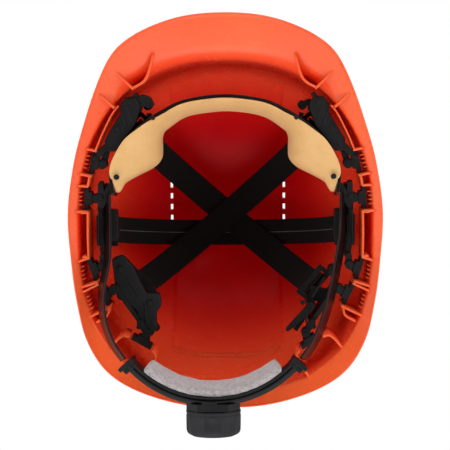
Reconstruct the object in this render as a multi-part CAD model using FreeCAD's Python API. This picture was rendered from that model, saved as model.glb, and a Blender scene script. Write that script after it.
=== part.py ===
import FreeCAD, Part
import math
import os
from FreeCAD import Placement, Rotation, Vector

# Forestry helmet, worn way up: +Z is up, the peak points to -Y, the size knob to +Y. Millimetres.
# The origin is on the table that the helmet stands on, in the middle of its length and width.
# Shell, brackets and straps are drawn in the shell's own frame, whose plane z = 0 is where the
# dome meets the brim, and seat() tilts that frame as the nape cradle props the helmet up.

# Shell
DOME_HALF_WIDTH = 107.0
DOME_FRONT = 121.0
DOME_REAR = 124.0
DOME_HEIGHT = 129.0
FRONT_POWER = 2.15
REAR_POWER = 2.6
CROWN_POWER = 2.3
WALL = 2.8
TILT_DEG = 7.1
SEAT_LIFT = 31.0
# half of the brim's edge, peak to nape: x, y, z in the shell's frame
BRIM_EDGE = [
    (0, -151.8, -9.5), (24, -150.2, -10), (45, -144.8, -11.8), (65, -135.3, -14),
    (79, -123, -14.5), (90, -102, -12), (100.2, -74, -7.6), (108.2, -46, -5),
    (113.3, -10, -4.5), (111.6, 26, -4.5), (108, 56, -4.5), (101.2, 84.5, -4),
    (87, 107.5, -3.5), (64, 122.5, -3), (32, 132.2, -3), (0, 134.6, -3),
]
PANEL_HALF_WIDTH = 45.0
PANEL_RAISE = 2.6
PANEL_FRONT = -88.0
PANEL_REAR = 84.0
VENT_ROWS = 8
VENT_PITCH = 8.0
VENT_FIRST_Y = -29.0
VENT_LENGTH = 5.2
RIB = 1.6
RIB_TOP = 24.0
SLOT_LENGTH = 30.0
SLOT_GAP = 6.0
SLOT_CENTRE_Y = 6.5

# Suspension hooks on the right side: x, y, plan direction of the T bar in degrees from +Y
HOOKS = {
    "s1": (68.4, -88.4, 41.0), "s2": (95.4, -45.2, 12.0), "s3": (100.3, -19.4, 3.0),
    "s4": (97.0, 32.6, -18.0), "s5": (89.2, 51.5, -26.0), "s6": (62.0, 87.0, -60.0),
}
BAR_LENGTH = 16.0
BAR_THICK = 3.0
BAR_BOTTOM = 3.0
BAR_HEIGHT = 14.0
STRAP_WIDTH = 20.0
STRAP_THICK = 1.6
STRAP_FOOT_Z = 25.0
STRAP_RISE = 71.0
STRAP_CLEARANCE = 0.4
STRAP_LAYER = 2.6
STRAP_LEAN = 12.5
STRAP_SPANS = 16
STRAP_ARCH_POWER = 0.88
FRONT_FOOT = (68.0, -68.0)
REAR_FOOT = (65.0, 47.0)
SIDE_FOOT = (86.0, 5.0)

# Headband and sweatband, in the standing frame: bottom point, top point of half the leather
SWEAT_THICK = 3.0
SWEATBAND = [
    ((0, -89.0, 17), (0, -85.0, 50)), ((28.4, -85.5, 17), (27, -81.5, 50)),
    ((45, -77.0, 17), (42, -72.5, 50)), ((54, -72.0, 17), (46, -66, 49)),
    ((62, -66.0, 18), (46.5, -57, 48)), ((70, -59.5, 19), (48, -47.5, 43)),
    ((76, -50.5, 20), (56, -40.5, 41)), ((79.6, -43, 21), (65, -35, 38)),
    ((80.6, -36.5, 22), (72, -30.5, 35)), ((80.0, -29.5, 24), (76, -26.5, 32)),
]
HEADBAND = [
    (0, -93.0), (28.4, -89.3), (45, -82.2), (56, -75.6), (66, -67.5), (74.5, -58.3),
    (80.6, -48), (83.6, -37), (83.6, -30), (82.6, -23),
]
HEADBAND_THICK = 1.6
HEADBAND_Z = (20.0, 48.0)
ARM_RIGHT = [
    (82.6, -22.5, 34), (82.4, -7, 33), (81.3, 8, 31), (78.3, 25, 28.5), (75.2, 40, 26),
    (71.8, 54, 24), (67.0, 69, 22), (60.8, 83, 20.5), (52.9, 94.3, 20),
]
ARM_LEFT = [
    (-82.6, -22.5, 34), (-82.0, 8, 31), (-82.2, 25, 28.5), (-85.2, 42, 26),
    (-86.0, 55, 24), (-84.0, 69, 22), (-78.5, 83, 20.5), (-70.7, 94.3, 20),
]
ARM_HEIGHT = 20.0
ARM_THICK = 1.6

# Nape cradle: an arc about a vertical line, set a little to the left as the loose band hangs
CRADLE_X = -8.9
CRADLE_Y = 45.4
CRADLE_R = 82.5
CRADLE_HALF_DEG = 49.0
CRADLE_INNER_R = 76.0
CRADLE_Z = (6.0, 34.0)
CHANNEL_R = (77.6, 80.8)
CHANNEL_Z = (9.6, 30.4)
COVER_GAP = 0.15
KNOB_Z = 20.5
KNOB_R = 19.5
KNOB_Y = (131.2, 150.0)
KNOB_SCALLOPS = 10
RACK_R = (78.2, 80.2)
PITCH_R = 5.0
PINION_TEETH = 10
PINION_POCKET_R = 7.0
SHAFT_R = 3.0
RUNNING_GAP = 0.06

NODES = {}


def mirrored(shape):
    return shape.mirror(Vector(0, 0, 0), Vector(1, 0, 0))


def seat(shape):
    """Moves a shape from the shell's frame to the standing frame."""
    placed = shape.copy()
    placed.Placement = Placement(Vector(0, 0, SEAT_LIFT), Rotation(Vector(1, 0, 0), TILT_DEG))
    return placed


def box(x0, x1, y0, y1, z0, z1):
    return Part.makeBox(x1 - x0, y1 - y0, z1 - z0, Vector(x0, y0, z0))


def unit(degrees):
    """Plan direction at this angle from +Y, turning towards +X."""
    angle = math.radians(degrees)
    return Vector(math.sin(angle), math.cos(angle), 0)


def beam(start, end, thick, z0, z1):
    """An upright wall between two plan points."""
    a = Vector(start[0], start[1], z0)
    b = Vector(end[0], end[1], z0)
    along = (b - a).normalize()
    side = Vector(-along.y, along.x, 0) * (thick / 2)
    face = Part.Face(Part.makePolygon([a - side, b - side, b + side, a + side, a - side]))
    return face.extrude(Vector(0, 0, z1 - z0))


def chain(points, thick, z0, z1):
    """Upright walls through several plan points, with round posts at the bends."""
    walls = [beam(a, b, thick, z0, z1) for a, b in zip(points, points[1:])]
    posts = [upright(p, thick / 2, z0, z1) for p in points[1:-1]]
    return walls[0].multiFuse(walls[1:] + posts) if len(walls) > 1 else walls[0]


def upright(point, radius, z0, z1):
    return Part.makeCylinder(radius, z1 - z0, Vector(point[0], point[1], z0))


def rod(x, z, radius, y0, y1):
    """A cylinder along Y."""
    return Part.makeCylinder(radius, y1 - y0, Vector(x, y0, z), Vector(0, 1, 0))


def sector(r0, r1, z0, z1, from_deg, to_deg):
    """Part of a ring about the cradle's axis, angles from +Y towards +X."""
    start = unit(from_deg)
    centre = Vector(CRADLE_X, CRADLE_Y, 0)
    corners = [centre + start * r + Vector(0, 0, z)
               for r, z in ((r0, z0), (r1, z0), (r1, z1), (r0, z1), (r0, z0))]
    face = Part.Face(Part.makePolygon(corners))
    return face.revolve(centre, Vector(0, 0, -1), to_deg - from_deg)


def closed_spline(points):
    curve = Part.BSplineCurve()
    curve.interpolate(Points=points, PeriodicFlag=True)
    return Part.Wire([curve.toShape()])


def ring(offset, height, count=28):
    """The dome's outline at this height, grown outwards by offset."""
    share = min(height / (DOME_HEIGHT + offset), 0.9999)
    rho = (1 - max(share, 0) ** CROWN_POWER) ** (1 / CROWN_POWER)
    points = []
    for i in range(count):
        angle = 2 * math.pi * i / count
        across, ahead = abs(math.sin(angle)), -math.cos(angle)
        reach, power = (DOME_REAR, REAR_POWER) if ahead > 0 else (DOME_FRONT, FRONT_POWER)
        radius = ((across / (DOME_HALF_WIDTH + offset)) ** power
                  + (abs(ahead) / (reach + offset)) ** power) ** (-1 / power) * rho
        points.append(Vector(radius * math.sin(angle), -radius * math.cos(angle), height))
    return points


def dome(offset, floor=0.0):
    """The solid under the dome's surface."""
    top = DOME_HEIGHT + offset
    shares = (0.1, 0.22, 0.36, 0.5, 0.64, 0.76, 0.86, 0.93, 0.975, 0.995)
    wires = [closed_spline(ring(offset, floor))]
    wires += [closed_spline(ring(offset, top * share)) for share in shares]
    return Part.makeLoft(wires + [Part.Vertex(0, 0, top)], True, False)


def brim_sheet():
    """The brim's lower surface, from its edge in to the dome's wall."""
    left = [(-x, y, z) for x, y, z in BRIM_EDGE[1:-1]]
    edge = [Vector(*p) for p in BRIM_EDGE + left[::-1]]
    outer = closed_spline(edge)
    inner = []
    for point in edge:
        angle = math.atan2(point.x, -point.y)
        across, ahead = abs(math.sin(angle)), -math.cos(angle)
        reach, power = (DOME_REAR, REAR_POWER) if ahead > 0 else (DOME_FRONT, FRONT_POWER)
        radius = ((across / (DOME_HALF_WIDTH - WALL / 2)) ** power
                  + (abs(ahead) / (reach - WALL / 2)) ** power) ** (-1 / power)
        inner.append(Vector(radius * math.sin(angle), -radius * math.cos(angle), 0))
    return Part.makeLoft([outer, closed_spline(inner)], False, True).Faces[0]


def crown_panel(solid, offset, inset):
    """A dome with its middle strip grown outwards by the panel's step."""
    half = PANEL_HALF_WIDTH - inset
    strip = box(-half, half, PANEL_FRONT + inset, PANEL_REAR - inset, 40, DOME_HEIGHT + 20)
    return solid.fuse(dome(offset + PANEL_RAISE, floor=1.0).common(strip))


def hook_frame(hook):
    """Centre, bar direction and inward normal of a hook in plan."""
    x, y, degrees = HOOKS[hook]
    along = unit(degrees)
    inward = Vector(-along.y, along.x, 0)
    return Vector(x, y, 0), along, inward


def shell_ribs():
    """Right-hand ribs, slot walls and hook sockets, in the shell's frame."""
    bottom = -4.0
    slot_x = DOME_HALF_WIDTH - WALL - SLOT_GAP - RIB / 2
    slot_front = SLOT_CENTRE_Y - (SLOT_LENGTH + RIB) / 2 - 0.3
    slot_rear = SLOT_CENTRE_Y + (SLOT_LENGTH + RIB) / 2 + 0.3
    walls = [
        chain([(97.2, -36.5), (98.6, -26.5)], RIB, bottom, RIB_TOP),
        chain([(slot_x, slot_front - 0.8), (slot_x, slot_rear + 0.8)], RIB, bottom, RIB_TOP),
        beam((slot_x, slot_front), (110, slot_front), RIB, bottom, RIB_TOP),
        beam((slot_x, slot_rear), (110, slot_rear), RIB, bottom, RIB_TOP),
        chain([(93.6, 40.4), (93.0, 42.8)], RIB, bottom, RIB_TOP),
        chain([(85.2, 60.5), (86.5, 66.0), (94.0, 70.5)], RIB, bottom, RIB_TOP),
        chain([(70.5, 81.8), (77.0, 80.5), (90.0, 90.5)], RIB, bottom, RIB_TOP),
        chain([(54.0, 91.6), (52.0, 97.0), (62.0, 114.0)], RIB, bottom, RIB_TOP),
        chain([(50, -122), (54.5, -107), (60, -102.0), (64.6, -99.2)], RIB, -14, RIB_TOP),
        beam((65.4, -98.4), (77.5, -111), RIB, -14, RIB_TOP),
        beam((78.2, -84.8), (91, -97), RIB, -14, RIB_TOP),
    ]
    for hook in ("s2", "s3", "s4", "s5"):
        centre, along, inward = hook_frame(hook)
        for end in (-1, 1):
            post = centre + along * (end * (BAR_LENGTH / 2 + 1.3))
            walls.append(beam(post + inward * 1.6, post - inward * 16, RIB, bottom, RIB_TOP))
        for tooth in (-4.5, -1.5, 1.5, 4.5):
            root = centre + along * tooth - inward * (BAR_THICK / 2 + 0.5)
            walls.append(beam(root, root - inward * 16, 0.8, bottom, RIB_TOP))
    return walls


def shell():
    """Dome, brim, raised crown panel, vents, ribs and accessory slots in one moulding."""
    sheet = brim_sheet()
    brim = sheet.extrude(Vector(0, 0, WALL))
    body = crown_panel(dome(0), 0, 0).fuse(brim)
    hollow = crown_panel(dome(-WALL, floor=-20), -WALL, WALL)
    body = body.cut(hollow)
    under_brim = sheet.extrude(Vector(0, 0, -40))
    ribs = shell_ribs()
    ribs = ribs[0].multiFuse(ribs[1:] + [mirrored(rib) for rib in ribs])
    ribs = ribs.common(dome(-WALL / 2).fuse(under_brim))
    body = body.fuse(ribs)
    cuts = []
    for row in range(VENT_ROWS):
        y = VENT_FIRST_Y + row * VENT_PITCH
        for x in (-PANEL_HALF_WIDTH, PANEL_HALF_WIDTH):
            cuts.append(box(x - 2.2, x + 2.2, y - VENT_LENGTH / 2, y + VENT_LENGTH / 2, 80, 150))
    return seat(body.cut(Part.makeCompound(cuts)))


def t_hook(hook):
    """The bar, boss and neck that snap into one socket."""
    centre, along, inward = hook_frame(hook)
    z0, z1 = BAR_BOTTOM, BAR_BOTTOM + BAR_HEIGHT
    half = along * (BAR_LENGTH / 2)
    bar = beam(centre - half, centre + half, BAR_THICK, z0, z1)
    boss_half = along * 4.5
    boss = beam(centre - boss_half + inward * 2.4, centre + boss_half + inward * 2.4, 3.0, z0, z1 - 2)
    neck = beam(centre + inward * 1.0, centre + inward * 8.0, 4.6, z0 + 1, z1 - 2)
    return [bar, boss, neck], centre + inward * 7.0


def strap_ladder(foot, outward):
    """The shelf with a slot that the webbing is looped through."""
    across = Vector(-outward.y, outward.x, 0)
    base = Vector(foot[0], foot[1], 0)
    z0 = STRAP_FOOT_Z + 2
    inner = base - outward * 3.6
    outer = base + outward * 3.6
    half = STRAP_WIDTH / 2 + 0.6
    rails = [beam(p - across * (half + 3), p + across * (half + 3), 3.6, z0, z0 + 5)
             for p in (inner, outer)]
    ends = [beam(inner + across * s * (half + 1.5), outer + across * s * (half + 1.5), 3.0, z0, z0 + 5)
            for s in (-1, 1)]
    return rails + ends


def bracket(hooks, plate, foot, outward, extras, webbing):
    """A suspension bracket on two hooks, carrying one webbing end."""
    solids = []
    joints = []
    for hook in hooks:
        parts, root = t_hook(hook)
        solids += parts
        joints.append(root)
    z0, z1 = BAR_BOTTOM + 3, BAR_BOTTOM + 11
    arms = [chain([joints[0], plate[0]], 4.4, z0, z1), chain([joints[1], plate[-1]], 4.4, z0, z1)]
    pegs = [upright(p, 3.4, z0 - 1.5, z1 + 1.5) for p in joints]
    ends = [upright(p, 2.6, z0, 30) for p in (plate[0], plate[-1])]
    body = chain(plate, 3.2, z0 + 2, 34)
    ladder = strap_ladder(foot, outward)
    whole = body.multiFuse(solids + arms + pegs + ends + ladder + extras).removeSplitter()
    return seat(whole).cut(webbing)


def front_bracket():
    outward = Vector(0.76, -0.65, 0).normalize()
    lobe = chain([(68.5, -85), (61, -88), (56, -85.5)], 4.0, 14, 26)
    lugs = [upright((56, -85.5), 3.2, 13, 27), beam((75, -71), (69.5, -72.5), 14.0, 24, 29)]
    webbing = strap((-REAR_FOOT[0], REAR_FOOT[1]), FRONT_FOOT, 0, STRAP_CLEARANCE)
    return bracket(("s1", "s2"), [(69.5, -84.0), (78.5, -71.0), (85.5, -54)], FRONT_FOOT, outward,
                   [lobe] + lugs, webbing)


def side_bracket():
    outward = Vector(1, 0, 0)
    tabs = [beam((91.2, -18), (92.0 - 4.0 * i, -29.5 + 1.8 * i), 2.4, 23, 34) for i in range(3)]
    webbing = strap((-SIDE_FOOT[0], SIDE_FOOT[1]), SIDE_FOOT, 2, STRAP_CLEARANCE)
    return bracket(("s3", "s4"), [(91.2, -20.0), (91.2, 5), (89.5, 24)], SIDE_FOOT, outward,
                   tabs + [beam((91.2, -6), (91.2, 16), 6.0, 10, 36)], webbing)


def rear_bracket():
    outward = Vector(0.76, 0.65, 0).normalize()
    tail = chain([(64, 62), (57, 72), (51, 81)], 3.0, 18, 30)
    lugs = [upright((78.5, 36.5), 3.4, 12, 32), upright((62, 60), 3.4, 12, 30),
            beam((69, 50), (66, 60), 12.0, 24, 29)]
    webbing = strap((-FRONT_FOOT[0], FRONT_FOOT[1]), REAR_FOOT, 1, STRAP_CLEARANCE)
    return bracket(("s5", "s6"), [(80.5, 47.0), (74.0, 57.0), (63, 73)], REAR_FOOT, outward,
                   [tail] + lugs, webbing)


def rectangle(centre, across, up, width, thick):
    """A thin rectangular section: width along up, thick along across."""
    a, b = across * (thick / 2), up * (width / 2)
    corners = [centre - a - b, centre + a - b, centre + a + b, centre - a + b, centre - a - b]
    return Part.makePolygon(corners)


def strap(start, end, layer, grow=0.0):
    """Webbing arched from one foot to the other under the crown, leaning to the rear as it rises."""
    a, b = Vector(start[0], start[1], 0), Vector(end[0], end[1], 0)
    along = (b - a).normalize()
    level = Vector(-along.y, along.x, 0)
    rise = STRAP_RISE + layer * STRAP_LAYER
    sections = []
    for i in range(STRAP_SPANS + 1):
        turn = math.pi * i / STRAP_SPANS
        reach = (1 - math.cos(turn)) / 2
        height = STRAP_FOOT_Z + rise * math.sin(turn) ** STRAP_ARCH_POWER
        flank = Vector(0, 0, 1) if i in (0, STRAP_SPANS) else None
        slope = rise * math.cos(turn) / ((b - a).Length / 2 * math.sin(turn)) if flank is None else 0
        tangent = flank or (along + Vector(0, 0, slope)).normalize()
        if i == STRAP_SPANS:
            tangent = tangent * -1
        normal = tangent.cross(level)
        lean = STRAP_LEAN * (height - STRAP_FOOT_Z) / STRAP_RISE
        centre = a + (b - a) * reach + Vector(0, lean, height)
        sections.append(rectangle(centre, normal, level, STRAP_WIDTH + 2 * grow, STRAP_THICK + 2 * grow))
    return seat(Part.makeLoft(sections, True, False))


def both_sides(half):
    """A half row of section data and its mirror image, left to right."""
    def flip(item):
        if isinstance(item[0], tuple):
            return tuple(flip(part) for part in item)
        return (-item[0],) + tuple(item[1:])
    return [flip(item) for item in half[:0:-1]] + list(half)


def sweatband():
    """Leather-faced strip whose wide wings lean in towards the temples."""
    sections = []
    rows = both_sides(SWEATBAND)
    for i, (low, high) in enumerate(rows):
        before = Vector(*rows[max(i - 1, 0)][0])
        after = Vector(*rows[min(i + 1, len(rows) - 1)][0])
        low, high = Vector(*low), Vector(*high)
        up = high - low
        height = up.Length
        normal = (after - before).cross(up).normalize()
        sections.append(rectangle((low + high) / 2, normal, up / height, height, SWEAT_THICK))
    return Part.makeLoft(sections, True, False)


def upright_strip(points, thick, height):
    """A thin upright strip through plan points, each with the height of its middle."""
    sections = []
    for i, point in enumerate(points):
        before, after = points[max(i - 1, 0)], points[min(i + 1, len(points) - 1)]
        run = Vector(after[0] - before[0], after[1] - before[1], 0).normalize()
        normal = Vector(-run.y, run.x, 0)
        sections.append(rectangle(Vector(*point), normal, Vector(0, 0, 1), height, thick))
    return Part.makeLoft(sections, True, False)


def headband():
    middle = sum(HEADBAND_Z) / 2
    points = [(x, y, middle) for x, y in both_sides(HEADBAND)]
    return upright_strip(points, HEADBAND_THICK, HEADBAND_Z[1] - HEADBAND_Z[0])


def headband_hangers():
    """Two front clips from the headband's top edge to the front brackets' lobes."""
    clip = beam((54.9, -77.6), (55.6, -81.6), 3.4, 38, 47)
    return Part.makeCompound([clip, mirrored(clip)])


def sweatband_studs():
    """Two press studs holding the leather wings to the headband."""
    shank = Part.makeCylinder(1.6, 7.0, Vector(84.2, -32, 30), Vector(-1, 0.25, -0.1))
    head = Part.makeCylinder(3.0, 1.6, Vector(77.6, -30.4, 29.4), Vector(-1, 0.25, -0.1))
    stud = shank.fuse(head)
    return Part.makeCompound([stud, mirrored(stud)])


def shield(y0, y1, inset):
    """The eight-sided block around the knob's axis."""
    low, high = 11 - inset / 2, 19 - inset
    bottom, top = inset, 2 * KNOB_Z - inset
    outline = [(-low, bottom), (low, bottom), (high, 12), (high, 2 * KNOB_Z - 12), (low, top),
               (-low, top), (-high, 2 * KNOB_Z - 12), (-high, 12), (-low, bottom)]
    face = Part.Face(Part.makePolygon([Vector(CRADLE_X + x, y0, z) for x, z in outline]))
    return face.extrude(Vector(0, y1 - y0, 0))


def channel():
    half = CRADLE_HALF_DEG + 2
    return sector(CHANNEL_R[0], CRADLE_R + 3, *CHANNEL_Z, -half, half)


def end_cap(side):
    """Flared end of the cradle, with a mouth for the headband arm."""
    angle = side * CRADLE_HALF_DEG
    centre = Vector(CRADLE_X, CRADLE_Y, 0)
    inner, outer = (centre + unit(angle) * r for r in (CRADLE_INNER_R - 0.5, CRADLE_R + 4.5))
    return beam(inner, outer, 4.0, *CRADLE_Z)


def nape_cradle():
    """Inner wall, flanges, end caps and gear block, open at the back for the racks."""
    half = CRADLE_HALF_DEG
    body = sector(CRADLE_INNER_R, CRADLE_R - 1.6, *CRADLE_Z, -half, half)
    body = body.multiFuse([end_cap(-1), end_cap(1), shield(121.6, 126.0, 0)])
    bore = rod(CRADLE_X, KNOB_Z, PINION_POCKET_R, 122.2, 127)
    return body.cut(shield(126.0, 135, -1)).cut(channel()).cut(bore).removeSplitter()


def nape_cover(side):
    """Outer strip that closes one half of the rack channel, with a raised rib along it."""
    span = sorted((0, side * (CRADLE_HALF_DEG - 2.2)))
    strip = sector(CRADLE_R - 1.4, CRADLE_R, *CRADLE_Z, *span)
    rib = sector(CRADLE_R - 0.5, CRADLE_R + 1.2, 18, 23, *span)
    return strip.fuse(rib).cut(shield(120, 135, -COVER_GAP)).removeSplitter()


def gear_housing():
    """Back half of the gear block, with the pinion's pocket and the shaft's bearing."""
    block = shield(126.0, 130.8, 0)
    pocket = rod(CRADLE_X, KNOB_Z, PINION_POCKET_R, 125, 127.6)
    bearing = rod(CRADLE_X, KNOB_Z, SHAFT_R + RUNNING_GAP, 120, 140)
    return block.cut(pocket).cut(bearing)


def nape_pad():
    """Felt pad on the cradle's inner face, thicker towards the top."""
    centre = Vector(CRADLE_X, CRADLE_Y, 0)
    start = unit(-41.0)
    outer = CRADLE_INNER_R - 0.1
    section = [(outer - 5.0, 5.0), (outer, 5.0), (outer, 33.0), (outer - 9.0, 33.0), (outer - 5.0, 5.0)]
    corners = [centre + start * r + Vector(0, 0, z) for r, z in section]
    return Part.Face(Part.makePolygon(corners)).revolve(centre, Vector(0, 0, -1), 82.0)


def rack(side, upper):
    """A toothed strip along the cradle's arc; the pinion drives its edge."""
    sign = 1 if upper else -1
    pitch = math.pi
    mean_r = sum(RACK_R) / 2
    step = math.degrees(pitch / mean_r)
    root = KNOB_Z + sign * (PITCH_R + 1.15)
    back = KNOB_Z + sign * (PITCH_R + 4.2)
    inner_end, outer_end = 5.5, CRADLE_HALF_DEG - 3.5
    span = sorted((-side * inner_end, side * outer_end))
    body = [sector(*RACK_R, min(root, back), max(root, back), *span)]
    tip, base = 0.36, 0.86
    for i in range(-2, 9):
        spot = side * (i + 0.5) * step
        out = unit(spot)
        flat = Vector(out.y, -out.x, 0)
        origin = Vector(CRADLE_X, CRADLE_Y, 0) + out * RACK_R[0]
        low, high = KNOB_Z + sign * (PITCH_R - 0.75), root + sign * 0.2
        corners = [origin + flat * w + Vector(0, 0, z)
                   for w, z in ((-base, high), (-tip, low), (tip, low), (base, high), (-base, high))]
        body.append(Part.Face(Part.makePolygon(corners)).extrude(out * (RACK_R[1] - RACK_R[0])))
    return body[0].multiFuse(body[1:]).removeSplitter()


def pinion():
    """Toothed wheel and shaft in one piece; it turns in the gear housing."""
    front = CRADLE_Y + RACK_R[0] - 0.4
    wheel = rod(CRADLE_X, KNOB_Z, PITCH_R - 1.15, front, front + 3.0)
    teeth = []
    for i in range(PINION_TEETH):
        angle = 2 * math.pi * i / PINION_TEETH
        out = Vector(math.sin(angle), 0, math.cos(angle))
        flat = Vector(out.z, 0, -out.x)
        origin = Vector(CRADLE_X, front, KNOB_Z)
        corners = [origin + out * r + flat * w for r, w in
                   ((PITCH_R - 1.4, -0.8), (PITCH_R + 0.75, -0.36), (PITCH_R + 0.75, 0.36),
                    (PITCH_R - 1.4, 0.8), (PITCH_R - 1.4, -0.8))]
        teeth.append(Part.Face(Part.makePolygon(corners)).extrude(Vector(0, 3.0, 0)))
    shaft = rod(CRADLE_X, KNOB_Z, SHAFT_R, front + 2.0, KNOB_Y[1] - 4.5)
    return wheel.multiFuse(teeth + [shaft]).removeSplitter()


def knob():
    """Scalloped cup-shaped knob with a hub on the shaft."""
    y0, y1 = KNOB_Y
    body = rod(CRADLE_X, KNOB_Z, KNOB_R, y0, y1)
    outer_edge = [edge for edge in body.Edges if abs(edge.BoundBox.YMin - y1) < 0.01
                  and abs(edge.BoundBox.YMax - y1) < 0.01]
    body = body.makeFillet(3.0, outer_edge)
    scallops = []
    for i in range(KNOB_SCALLOPS):
        angle = 2 * math.pi * (i + 0.5) / KNOB_SCALLOPS
        reach = KNOB_R + 5.6
        scallops.append(rod(CRADLE_X + reach * math.sin(angle), KNOB_Z + reach * math.cos(angle),
                            6.6, y0 + 3.0, y1 + 1))
    hollow = rod(CRADLE_X, KNOB_Z, KNOB_R - 3.5, y0 - 1, y1 - 5)
    hub = rod(CRADLE_X, KNOB_Z, 6.0, y0 + 5.4, y1 - 4)
    bore = rod(CRADLE_X, KNOB_Z, SHAFT_R, y0 - 1, y1 - 4.5)
    recess = rod(CRADLE_X, KNOB_Z, 7.5, y1 - 1.5, y1 + 1)
    hole = rod(CRADLE_X, KNOB_Z, 1.5, y1 - 5, y1)
    body = body.cut(Part.makeCompound(scallops)).cut(hollow)
    return body.fuse(hub).cut(bore).cut(recess).cut(hole).removeSplitter()


def ratchet_ring():
    """Fixed ring of clicks inside the knob, on the gear housing."""
    y0 = KNOB_Y[0] - 0.4
    ring_body = rod(CRADLE_X, KNOB_Z, 14.0, y0, y0 + 4.2).cut(rod(CRADLE_X, KNOB_Z, 11.6, y0 - 1, y0 + 6))
    clicks = []
    for i in range(24):
        angle = 2 * math.pi * i / 24
        clicks.append(rod(CRADLE_X + 11.9 * math.sin(angle), KNOB_Z + 11.9 * math.cos(angle),
                          0.7, y0, y0 + 4.2))
    return ring_body.multiFuse(clicks).removeSplitter()


def ratchet_spring():
    """Disc with two sprung pawls, clamped on the shaft in front of the knob's hub."""
    y0 = KNOB_Y[0] + 0.8
    disc = rod(CRADLE_X, KNOB_Z, 6.2, y0, y0 + 3.0)
    arms = []
    for s in (-1, 1):
        arms.append(box(CRADLE_X - 0.9, CRADLE_X + 0.9, y0, y0 + 3.0,
                        *sorted((KNOB_Z + s * 5.5, KNOB_Z + s * 10.2))))
        arms.append(rod(CRADLE_X, KNOB_Z + s * 9.6, 0.9, y0, y0 + 3.0))
    bore = rod(CRADLE_X, KNOB_Z, SHAFT_R, y0 - 1, y0 + 5)
    return disc.multiFuse(arms).cut(bore).removeSplitter()


def knob_screw():
    """Screw through the knob into the shaft's end, with a cross-free plain head."""
    y1 = KNOB_Y[1]
    head = rod(CRADLE_X, KNOB_Z, 3.2, y1 - 1.5, y1 - 0.2)
    return head.fuse(rod(CRADLE_X, KNOB_Z, 1.45, y1 - 4.5, y1 - 1.5)).removeSplitter()


def build():
    NODES["shell"] = shell()
    for name, maker in (("front_bracket", front_bracket), ("side_bracket", side_bracket),
                        ("rear_bracket", rear_bracket)):
        right = maker().cut(NODES["shell"])
        NODES[name + "_right"] = right
        NODES[name + "_left"] = mirrored(right)
    fx, fy = FRONT_FOOT
    rx, ry = REAR_FOOT
    sx, sy = SIDE_FOOT
    NODES["crown_strap_lower"] = strap((fx, fy), (-rx, ry), 0)
    NODES["crown_strap_upper"] = strap((-fx, fy), (rx, ry), 1)
    NODES["crown_strap_cross"] = strap((-sx, sy), (sx, sy), 2)
    NODES["headband"] = headband()
    NODES["headband_hangers"] = headband_hangers().cut(NODES["headband"])
    NODES["headband_arm_right"] = upright_strip(ARM_RIGHT, ARM_THICK, ARM_HEIGHT)
    NODES["headband_arm_left"] = upright_strip(ARM_LEFT, ARM_THICK, ARM_HEIGHT)
    NODES["sweatband"] = sweatband()
    NODES["sweatband_studs"] = sweatband_studs()
    NODES["nape_cradle"] = nape_cradle()
    NODES["nape_cover_left"] = nape_cover(-1)
    NODES["nape_cover_right"] = nape_cover(1)
    NODES["nape_pad"] = nape_pad()
    NODES["gear_housing"] = gear_housing()
    NODES["rack_left"] = rack(-1, True)
    NODES["rack_right"] = rack(1, False)
    NODES["pinion"] = pinion()
    NODES["adjuster_knob"] = knob()
    NODES["ratchet_ring"] = ratchet_ring()
    NODES["ratchet_spring"] = ratchet_spring()
    NODES["knob_screw"] = knob_screw()


build()
os.makedirs("parts", exist_ok=True)
for node_name, node_shape in NODES.items():
    node_shape.exportStep("parts/" + node_name + ".step")
    extent = node_shape.BoundBox
    print(node_name, len(node_shape.Solids), node_shape.isValid(), round(node_shape.Volume),
          [round(v, 1) for v in (extent.XMin, extent.YMin, extent.ZMin,
                                 extent.XMax, extent.YMax, extent.ZMax)])
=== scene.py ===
import math

import bmesh
import bpy
import numpy as np
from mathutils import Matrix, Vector, noise


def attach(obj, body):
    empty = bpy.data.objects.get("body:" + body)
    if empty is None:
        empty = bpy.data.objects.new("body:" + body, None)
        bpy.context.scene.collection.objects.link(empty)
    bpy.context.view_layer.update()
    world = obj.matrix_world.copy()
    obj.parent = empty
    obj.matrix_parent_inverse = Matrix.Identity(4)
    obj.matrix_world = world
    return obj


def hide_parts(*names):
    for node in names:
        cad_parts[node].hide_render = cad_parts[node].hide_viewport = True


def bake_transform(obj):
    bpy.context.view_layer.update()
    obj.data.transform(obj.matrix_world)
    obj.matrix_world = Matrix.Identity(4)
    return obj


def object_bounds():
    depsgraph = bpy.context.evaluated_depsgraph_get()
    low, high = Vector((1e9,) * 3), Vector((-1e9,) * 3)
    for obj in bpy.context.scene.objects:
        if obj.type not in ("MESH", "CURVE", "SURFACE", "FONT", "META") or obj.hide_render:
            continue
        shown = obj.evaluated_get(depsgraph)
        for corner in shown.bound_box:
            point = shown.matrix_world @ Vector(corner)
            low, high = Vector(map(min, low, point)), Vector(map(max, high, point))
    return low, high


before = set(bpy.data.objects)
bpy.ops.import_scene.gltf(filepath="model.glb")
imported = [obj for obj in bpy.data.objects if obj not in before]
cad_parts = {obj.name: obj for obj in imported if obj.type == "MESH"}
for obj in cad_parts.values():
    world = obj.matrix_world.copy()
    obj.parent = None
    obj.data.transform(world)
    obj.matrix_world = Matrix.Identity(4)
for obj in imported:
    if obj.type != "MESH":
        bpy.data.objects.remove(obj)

CAD_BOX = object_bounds()
MM = 0.001

# Driving dimensions, in millimetres, in the shell's own frame unless a comment says otherwise.
# The shell's frame is tilted: the nape cradle props the helmet up when it stands.
DOME_HALF_WIDTH = 108.5
DOME_FRONT = 121.0
DOME_REAR = 124.0
DOME_HEIGHT = 129.0
FRONT_POWER = 2.3
REAR_POWER = 2.6
CROWN_POWER = 2.3
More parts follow.
